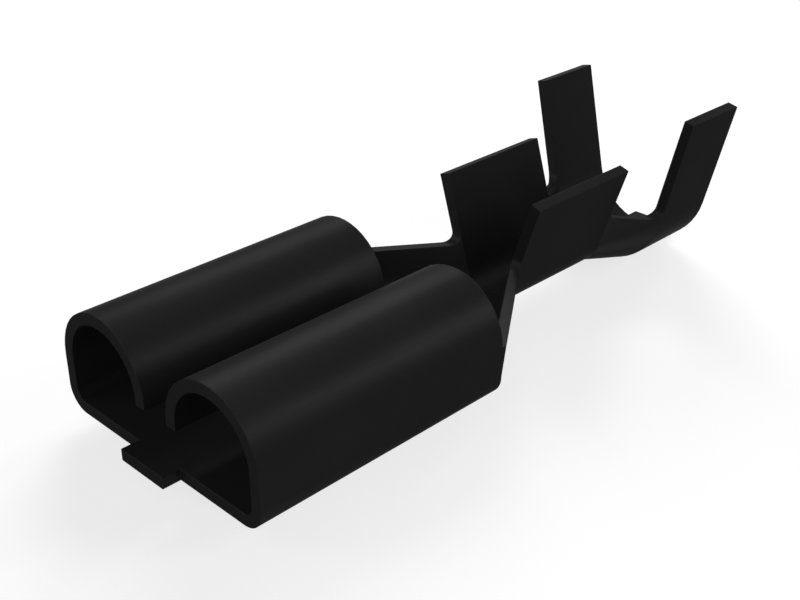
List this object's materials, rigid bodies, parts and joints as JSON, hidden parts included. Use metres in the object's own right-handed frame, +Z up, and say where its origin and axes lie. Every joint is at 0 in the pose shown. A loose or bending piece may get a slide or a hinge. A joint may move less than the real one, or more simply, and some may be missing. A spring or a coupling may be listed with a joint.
{
  "type": "female terminal",
  "caption": "Folded sheet-metal blade receptacle with rolled gripping sides, a tapered neck, and open crimp barrels for a wire's bare end and its insulation.",
  "frame": {"origin": "middle of the mouth's front edge, on the underside of the receptacle's flat base", "axes": "+X from the mouth towards the wire, +Z up from the flat base through the open tops of the barrels, +Y across the piece"},
  "size_m": [0.0209, 0.0076, 0.0053],
  "materials": {
    "plated_sheet": "satin"
  },
  "bodies": {
    "root": {"terminal_body": "plated_sheet"}
  },
  "joints": []
}
